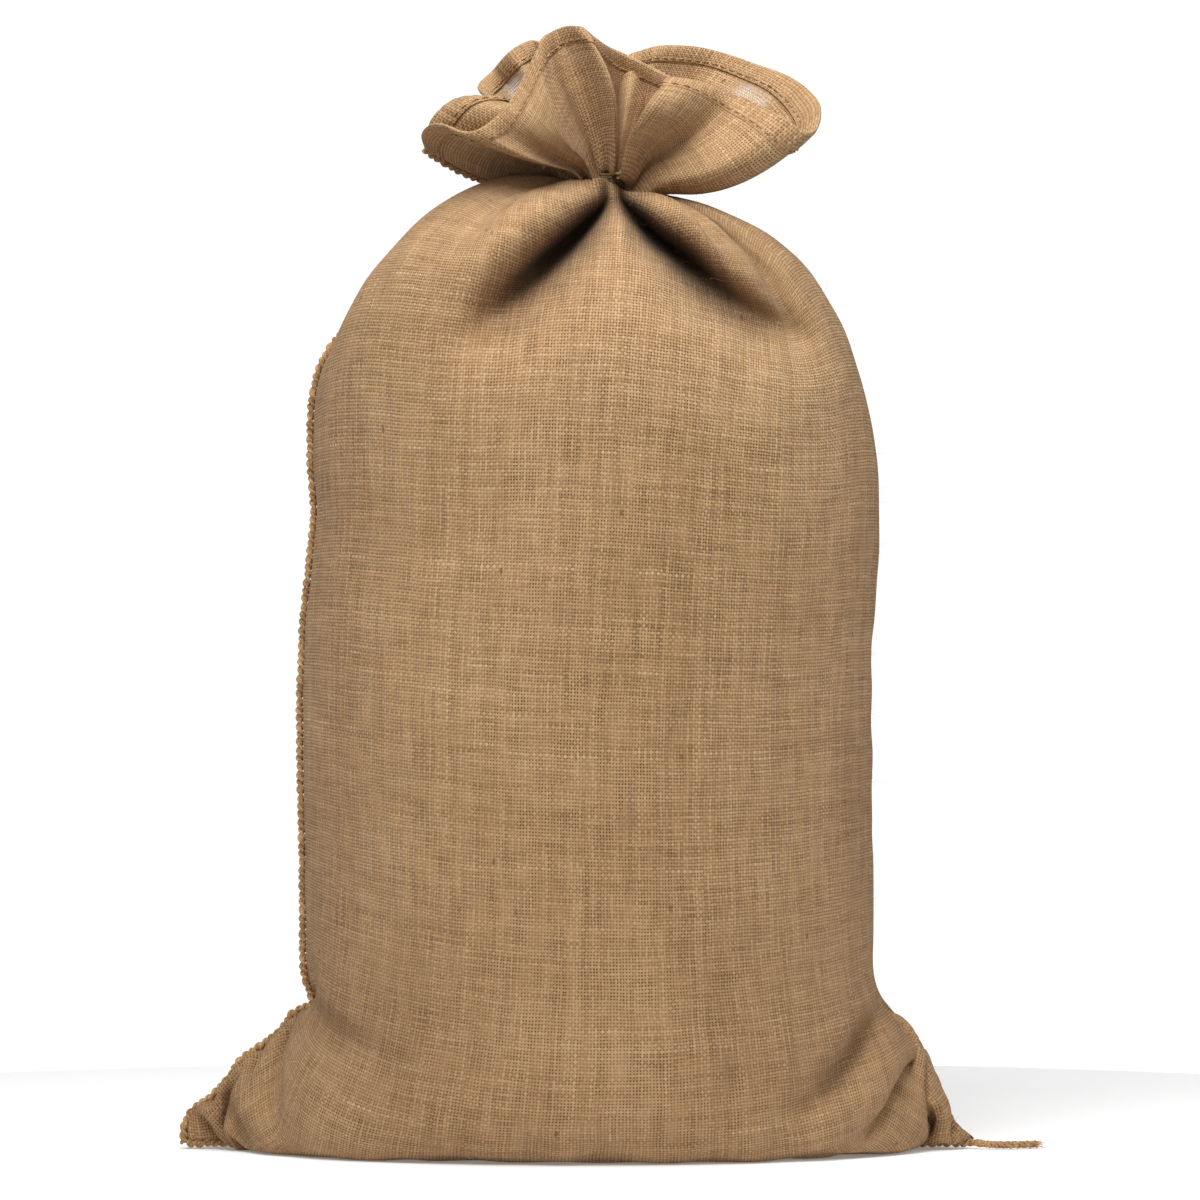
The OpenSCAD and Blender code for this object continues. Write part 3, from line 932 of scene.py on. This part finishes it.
def settle(P, steps, push, passes=10):
    """Lets the stuffed cloth settle: the stuffing pushes out, the creases draw in, and the yarns keep their
    length."""
    cloth = Settling(P, push)
    for step in range(steps):
        if step % 2 == 0:
            cloth.sink_folds()
        cloth.step(passes)
    return cloth.Q


def resample(P, rows, columns):
    """The same smooth surface with another number of rows and columns."""
    def weights(f):
        return [0.5 * (-f + 2 * f**2 - f**3), 0.5 * (2 - 5 * f**2 + 3 * f**3),
                0.5 * (f + 4 * f**2 - 3 * f**3), 0.5 * (-f**2 + f**3)]
    n, m = P.shape[:2]
    x = np.linspace(0, n - 1, rows)
    i = np.minimum(x.astype(int), n - 2)
    f = weights((x - i)[:, None, None])
    Q = sum(f[k] * P[np.clip(i + k - 1, 0, n - 1)] for k in range(4))
    y = np.arange(columns) * m / columns
    j = y.astype(int)
    g = weights((y - j)[None, :, None])
    return sum(g[k] * Q[:, (j + k - 1) % m] for k in range(4))


def ripple(P):
    """The faint unevenness of a woven bag: slow swells, a little stronger in the slack corners."""
    s, t = places(*P.shape[:2])
    t = t[:, None]
    dice = np.random.default_rng(3)
    waves = 26
    swell = np.zeros(P.shape[:2])
    for _ in range(waves):
        across = dice.integers(4, 34) / CLOTH_W
        up = dice.uniform(3, 26) * dice.choice([-1, 1])
        swell += np.sin(TURN * (across * s + up * t) + dice.uniform(0, 6.28)) / (across + abs(up)) * 16
    swell /= waves ** 0.5
    slack = 0.6 + 1.2 * hump(t, 0.10, 0.07)
    fade = fall(t, T_NECK - 0.03, 0.05) * np.clip(t / 0.05, 0, 1)
    return P + normals(P) * (swell * slack * fade * 0.0011)[..., None]


def settled_cloth():
    """The cloth settles on a coarse grid first, then on two finer ones."""
    P = settle(first_shape(52, 60), 260, 0.0006)
    P = settle(with_mouth(finer(P)), 60, 0.0004)
    P = with_mouth(finer(P))
    P = settle(P, 24, 0.0003)
    return resample(P, 300, 320)


def shape_cloth():
    P = ripple(press_folds(with_mouth(settled_cloth())))
    P[..., 2] = np.maximum(P[..., 2], 0.0004)
    return P


def slack_weave(rows, columns):
    """Where the weave has slid open: patches of the mouth."""
    s, t = places(rows, columns)
    patches = [hump(s, a, wide) * hump(t, b, tall)[:, None] for a, b, wide, tall in SLACK]
    return np.max(patches, axis=0)


def add_values(obj, name, values):
    attribute = obj.data.attributes.new(name, "FLOAT", "POINT")
    attribute.data.foreach_set("value", values.astype(np.float32).ravel())


def make_cloth(P):
    rows, columns = P.shape[:2]
    cloth = make_mesh("sack_cloth", P.reshape(-1, 3), band(rows, columns), MATERIALS["jute_cloth"])
    add_flat(cloth, np.arange(columns + 1) * CLOTH_W / columns, np.linspace(0, CLOTH_L, rows))
    add_values(cloth, "slack", slack_weave(rows, columns))
    add_values(cloth, "shade", fold_shade(P))
    return cloth


# ---- the hem and its stitches

# the folded hem's section: place above the hem's lower edge, height over the cloth (m)
HEM_SECTION = [
    (0, 0.0003), (0.0012, 0.0011), (0.0028, 0.0006), (0.0046, 0.0012), (0.01, 0.0013), (0.0148, 0.0012),
    (0.0164, 0.0005), (0.0166, -0.0006), (0.0158, -0.0016), (0.01, -0.002), (0.0046, -0.0019),
    (0.0028, -0.0012), (0.001, -0.0017), (-0.0004, -0.0012), (0, -0.0003),
]
STITCH_AT = 0.0028       # the stitches above the hem's lower edge
STITCH = 0.0078          # from one stitch to the next
STITCH_L = 0.0058        # length of the thread that shows
STITCH_R = 0.00055


def mouth_surface(s, t):
    """Points and outward normals of the mouth's cloth at cloth positions s (round) and t (up)."""
    def at(s, t):
        return frill_point(np.mod(s, CLOTH_W), t)
    d = 0.0015
    around = at(s + d, t) - at(s - d, t)
    up = at(s, t + d) - at(s, t - d)
    return at(s, t), unit(np.cross(around, up))


def make_hem():
    columns = 560
    s, _ = places(2, columns)
    pucker = 1 + 0.16 * np.sin(TURN * s / STITCH) + 0.10 * np.sin(TURN * s / 0.031)
    rings = []
    for up, out in HEM_SECTION:
        p, n = mouth_surface(s, CLOTH_L - HEM + up)
        rings.append(p + n * (out * pucker)[:, None])
    faces = band(len(rings), columns, wrap=True)
    hem = make_piece("mouth_hem_fold", np.concatenate(rings), faces, "mouth", "jute_hem", "mouth_hem")
    run = run_length(np.array(HEM_SECTION))
    closed = np.r_[run, run[-1] + 0.0006] + CLOTH_L
    add_flat(hem, np.arange(columns + 1) * CLOTH_W / columns, closed)
    return hem


def make_hem_stitches():
    parts = Parts()
    count = int(CLOTH_W / STITCH)
    lift = np.array([0.0, 0.0010, 0.0014, 0.0014, 0.0010, 0.0])[:, None]
    for k in range(count):
        middle = (k + 0.5) * CLOTH_W / count + random.uniform(-0.0003, 0.0003)
        s = middle + np.linspace(-0.5, 0.5, 6) * STITCH_L
        p, n = mouth_surface(s, CLOTH_L - HEM + STITCH_AT + random.uniform(-0.0002, 0.0002))
        parts.tube(p + n * (lift + 0.0002), STITCH_R, 5)
        parts.tube(p - n * (lift + 0.0009), STITCH_R, 5)
    return parts.build("hem_stitches", "mouth", "hem_thread", "hem_stitching")


# ---- the overlocked seams

ROLL_R = 0.0017          # the rolled edge
LOOP_R = 0.0021          # from its middle to the threads whipped over it
THREAD_R = 0.00125
ABOVE_GROUND = 0.0038    # a seam's middle, where it lies on the ground


def overlock(line, up):
    """A raw edge rolled in and whipped over with thread, along a line."""
    p = even(line, SEAM_PITCH / 16)
    a, b = frames(p, up)
    run = run_length(p)
    uneven = 1 + 0.10 * np.sin(run * TURN / 0.023) + 0.06 * np.sin(run * TURN / 0.0071)
    parts = Parts()
    parts.tube(p, ROLL_R * uneven, 8, up)
    for share, r, k in ((0.0, THREAD_R, 1.0), (0.5, THREAD_R * 0.85, 0.94)):
        turn = TURN * (run / SEAM_PITCH + share) + 0.35 * np.sin(run * TURN / 0.017)
        parts.tube(p + (LOOP_R * k * uneven)[:, None] * turned(a, b, turn), r, 6, up)
    return parts


def make_side_seam(P):
    side = P[:, 0]
    centre = np.stack([0 * side[:, 2], 0 * side[:, 2], np.clip(side[:, 2], 0.10, 0.60)], 1)
    wall = np.linspace(0, CLOTH_L, len(P)) < T_NECK - 0.028
    line = (side + unit(side - centre) * 0.0022)[wall]
    line[:, 2] = np.maximum(line[:, 2], ABOVE_GROUND)
    return overlock(line[::2], (0, 1, 0)).build("side_overlock", "sack", "seam_thread", "side_seam")


def make_bottom_seam(P):
    half = P.shape[1] // 2
    line = P[0, :half + 1] + np.array([0, 0, -0.0016])
    line[:, 2] = np.maximum(line[:, 2], ABOVE_GROUND)
    line[:, 1] *= 0.3
    line = np.concatenate([line[::3], TAIL[1:2]])
    return overlock(line, (0, 0, 1)).build("bottom_overlock", "sack", "seam_thread", "bottom_seam")


def make_mouth_seam():
    t = np.linspace(T_NECK + 0.022, CLOTH_L + 0.001, 40)
    line, out = np.concatenate([mouth_surface(np.zeros(1), x) for x in t], 1)
    seam = overlock(line + out * 0.0012, (0, 1, 0))
    return seam.build("mouth_overlock", "mouth", "seam_thread", "mouth_seam")


# ---- the tie

TIE_R = 0.0138           # from the middle of the neck to the middle of the cord
TIE_D = 0.0022
TIE_Z = 0.6982
TIE_TURNS = 3
TIE_PITCH = 0.0060       # one turn of its two strands


def twisted(parts, line, up=(0, 0, 1)):
    """The tie's cord along a line: two strands twisted together."""
    p = even(line, TIE_PITCH / 8)
    a, b = frames(p, up)
    run = run_length(p)
    for k in range(2):
        turn = TURN * (run / TIE_PITCH + k / 2)
        parts.tube(p + TIE_D * 0.23 * turned(a, b, turn), TIE_D * 0.29, 6, up)


def make_tie():
    turn = np.linspace(0, TIE_TURNS * TURN, TIE_TURNS * 40)
    r = TIE_R + 0.0004 * np.sin(turn * 5.3)
    z = TIE_Z + TIE_D * 0.95 * (turn / (TURN) - TIE_TURNS / 2)
    parts = Parts()
    twisted(parts, np.stack([NECK[0] + r * np.sin(turn), NECK[1] + r * np.cos(turn), z], 1))
    parts.build("tie_turns", "sack", "tie_cord", "neck_tie")


def frayed_end(parts, tip, way):
    for _ in range(9):
        spread = np.array([way * random.uniform(1, 4), random.uniform(0, 4), random.uniform(-1.5, 1.5)])
        far = tip + spread / 1000
        parts.tube([tip - np.array([way * 0.001, 0, 0]), (tip + far) / 2 + 0.0003, far], 0.00016, 4)


def make_knot():
    """An overhand knot behind the neck, drawn tight, and its two clipped ends."""
    parts = Parts()
    f = np.linspace(0, TURN, 90)
    loop = np.stack([np.sin(f) + 2 * np.sin(2 * f), -np.sin(3 * f) * 0.9, np.cos(f) - 2 * np.cos(2 * f)], 1)
    middle = np.array([NECK[0], NECK[1] + TIE_R + 0.0034, TIE_Z])
    twisted(parts, middle + loop * 0.00105, (0, 1, 0.1))
    for way, lean in ((-1, 0.3), (1, -0.1)):
        end = [(0, 0, 0), (3 * way, 3, -1), (8 * way, 6, -1.5 + lean), (13 * way, 8, -2.5 + 2 * lean),
               (17 * way, 11, -3.4)]
        line = middle + np.array(end) / 1000
        twisted(parts, catmull(line, 5))
        frayed_end(parts, line[-1], way)
    parts.build("tie_knot_cord", "sack", "tie_cord", "tie_knot")


# ---- the stuffing

# the rounded ends of the stuffing: share of the last ring's width, and how far beyond it
FILLING_FOOT = [(0.95, -0.012), (0.84, -0.026), (0.6, -0.032), (0.25, -0.033)]
FILLING_TOP = [(0.85, 0.012), (0.62, 0.024), (0.36, 0.031), (0.12, 0.034)]


def rounded_end(ring, steps):
    middle = ring.mean(0)
    return [middle + (ring - middle) * share + np.array([0, 0, rise]) for share, rise in steps]


def filling_rings(P):
    """The inside of the cloth, drawn in and lumpy."""
    t = np.linspace(0, CLOTH_L, P.shape[0])
    pick = np.flatnonzero((t > 0.215) & (t < 0.665))[::3]
    Q = (P - normals(P) * 0.013)[pick][:, ::3]
    Q[..., 1] *= 0.94
    Q[..., 0] = np.clip(Q[..., 0], -0.196, 0.208)
    Q[..., 2] = np.maximum(Q[..., 2], 0.012)
    s = np.linspace(0, TURN, Q.shape[1], endpoint=False)
    for i in range(len(Q)):
        lump = 0.5 + 0.5 * np.sin(7 * s + 1.7 * i) * np.sin(11 * s - 0.9 * i)
        Q[i] += (Q[i].mean(0) - Q[i]) * (0.022 * lump)[:, None]
    return list(Q)


def make_filling(P):
    rings = filling_rings(P)
    rings = rounded_end(rings[0], FILLING_FOOT)[::-1] + rings + rounded_end(rings[-1], FILLING_TOP)
    rows, columns = len(rings), len(rings[0])
    points = np.concatenate(rings + [rings[0].mean(0)[None], rings[-1].mean(0)[None]])
    bottom, top, last = rows * columns, rows * columns + 1, (rows - 1) * columns
    faces = band(rows, columns)
    faces += [[bottom, (a + 1) % columns, a] for a in range(columns)]
    faces += [[top, last + a, last + (a + 1) % columns] for a in range(columns)]
    make_piece("stuffing", points, faces, "sack", "stuffing", "filling")


# ---- loose fibres

def hair(parts, root, way, length, curl=0.5):
    points = [root]
    for _ in range(4):
        way = unit(way + np.array([random.uniform(-curl, curl) for _ in range(3)]))
        points.append(points[-1] + way * length / 4)
    points = np.array(points)
    points[:, 2] = np.maximum(points[:, 2], 0.0003)
    parts.tube(points, np.linspace(0.00011, 0.00005, 5), 3)


def make_fibres(P, name, body, count, rows, lengths):
    """Hairs that stand off the cloth between two rows of it."""
    n = normals(P)
    parts = Parts()
    for _ in range(count):
        i, j = random.randint(*rows), random.randrange(P.shape[1])
        along_cloth = unit(P[i, (j + 1) % P.shape[1]] - P[i, j]) * random.uniform(-1, 1)
        up_cloth = unit(P[min(i + 1, len(P) - 1), j] - P[i - 1, j]) * random.uniform(-1, 1)
        way = unit(n[i, j] * random.uniform(0.15, 0.6) + along_cloth + up_cloth)
        hair(parts, P[i, j], way, random.uniform(*lengths))
    parts.build(name, body, "jute_cloth", material="loose_fibre")


# ---- light and floor

def make_light(name, place, aim, side, power):
    data = bpy.data.lights.new(name, "AREA")
    data.shape = "SQUARE"
    data.size = side
    data.energy = power
    light = bpy.data.objects.new(name, data)
    light.location = place
    light.rotation_euler = (Vector(aim) - Vector(place)).to_track_quat("-Z", "Y").to_euler()
    bpy.context.collection.objects.link(light)


def make_world(seen, shed):
    """White all round: how bright the camera sees it, and how much light it sheds."""
    world = bpy.data.worlds.new("studio")
    bpy.context.scene.world = world
    world.use_nodes = True
    tree = world.node_tree
    tree.nodes.clear()
    mix, out = tree.nodes.new("ShaderNodeMixShader"), tree.nodes.new("ShaderNodeOutputWorld")
    for socket, strength in ((1, shed), (2, seen)):
        white = tree.nodes.new("ShaderNodeBackground")
        white.inputs[0].default_value = (1, 1, 1, 1)
        white.inputs[1].default_value = strength
        tree.links.new(white.outputs[0], mix.inputs[socket])
    ray = tree.nodes.new("ShaderNodeLightPath")
    tree.links.new(ray.outputs["Is Camera Ray"], mix.inputs[0])
    tree.links.new(mix.outputs[0], out.inputs[0])


def make_stage():
    r, sides = 0.95, 48
    turn = np.linspace(0, TURN, sides, endpoint=False)
    points = np.stack([r * np.cos(turn), r * np.sin(turn), 0 * turn], 1)
    floor = make_mesh("floor", points, [list(range(sides))], floor_material())
    make_light("key", (-0.45, -1.7, 2.3), (0, 0, 0.74), side=1.1, power=48)
    make_light("top", (0.1, -0.2, 2.0), (0, 0, 0.6), side=1.2, power=17)
    make_light("fill", (2.2, -2.0, 1.2), (0, 0, 0.4), side=1.6, power=11)
    make_world(seen=1.05, shed=0.36)
    bpy.context.scene.view_settings.view_transform = "Standard"


# ---- build

make_camera()
make_tail()
P = shape_cloth()
cloth = make_cloth(P)
with_cloth = [make_hem(), make_hem_stitches(), make_side_seam(P), make_bottom_seam(P), make_mouth_seam()]
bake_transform(cloth)
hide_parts("sack_body", "neck_gather", "mouth_frill")
make_tie()
make_knot()
make_filling(P)
neck_row = int(P.shape[0] * T_NECK / CLOTH_L)
make_fibres(P, "body_fibres", "sack", 900, (1, neck_row - 12), (0.004, 0.014))
make_fibres(P, "mouth_fibres", "mouth", 260, (neck_row + 8, P.shape[0] - 1), (0.003, 0.011))
make_stage()
